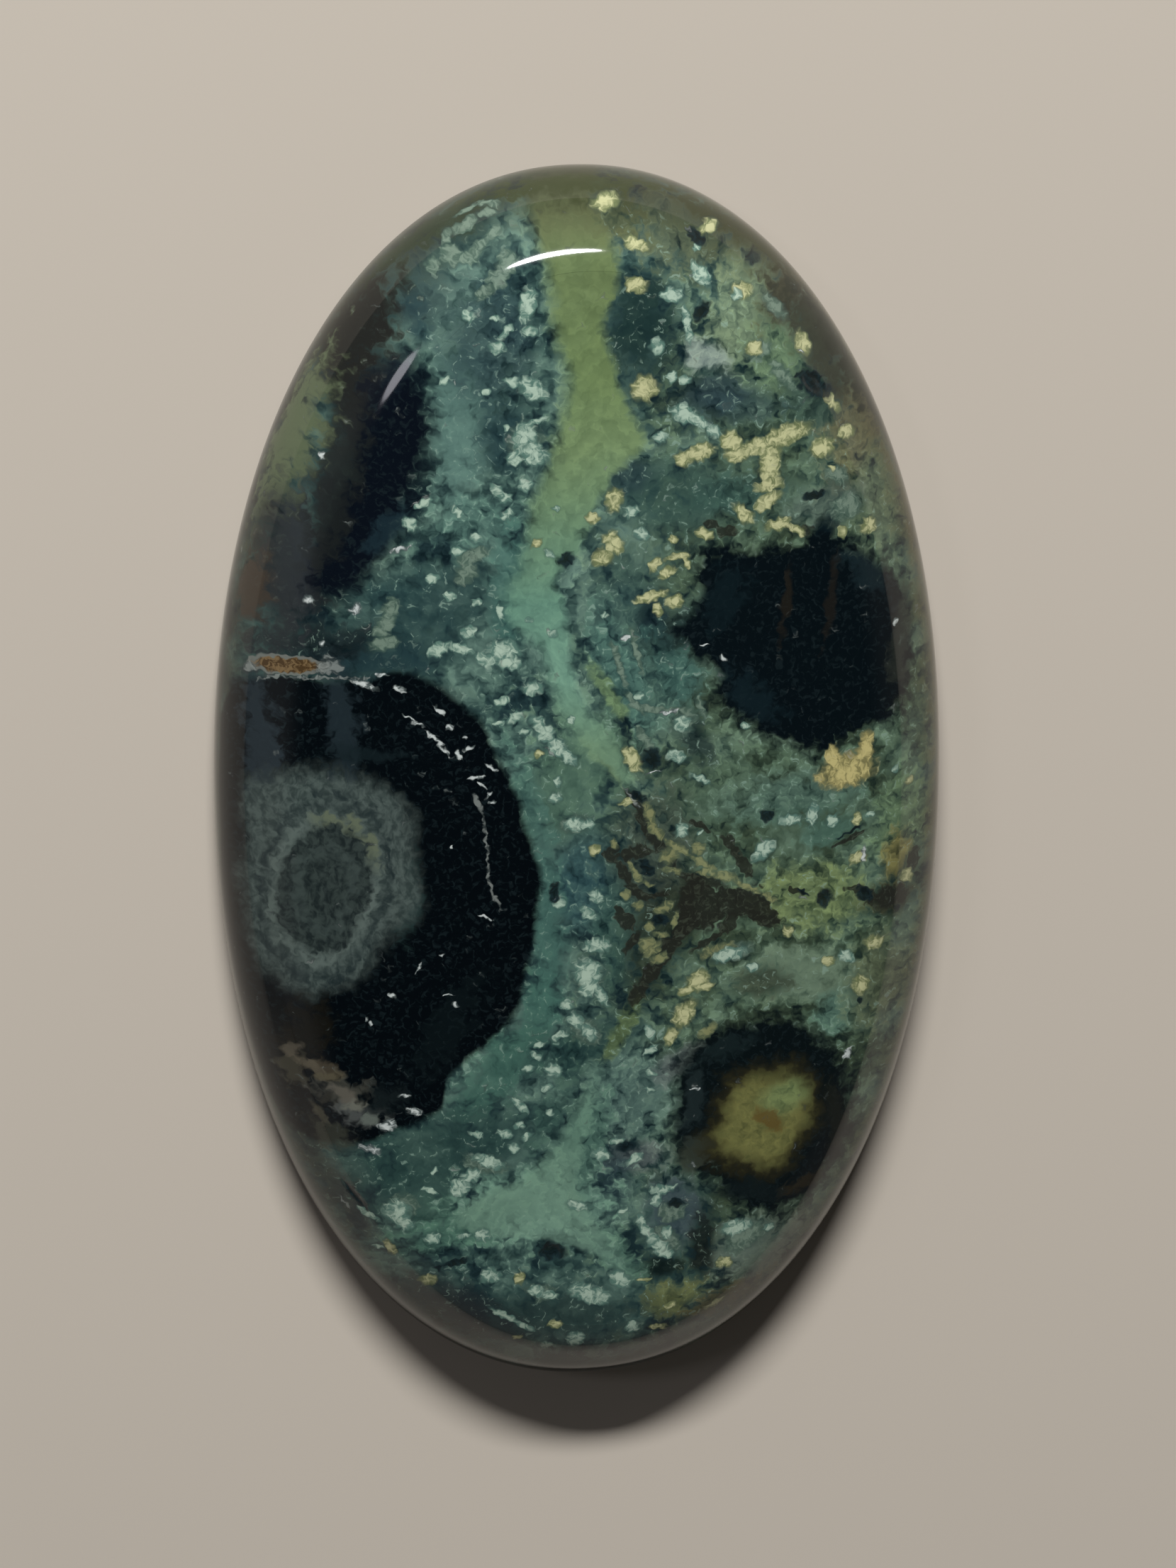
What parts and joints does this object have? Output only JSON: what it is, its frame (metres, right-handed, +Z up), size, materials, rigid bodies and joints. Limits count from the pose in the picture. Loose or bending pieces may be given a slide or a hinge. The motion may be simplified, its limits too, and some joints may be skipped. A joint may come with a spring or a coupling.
{
  "type": "kambaba jasper cabochon",
  "caption": "Oval polished green-and-black stone cabochon with a low domed crown, sloping shoulder, upright girdle and flat back for a bezel or a shelf.",
  "frame": {"origin": "middle of the flat back, which is the lowest face", "axes": "+Z up through the crown, Y along the oval's long axis with +Y the end that is at the top of the picture, X across the oval"},
  "size_m": [0.03, 0.051, 0.007],
  "materials": {
    "jasper": "high polish, orbicular green and black"
  },
  "bodies": {
    "root": {"cabochon": "jasper"}
  },
  "joints": []
}
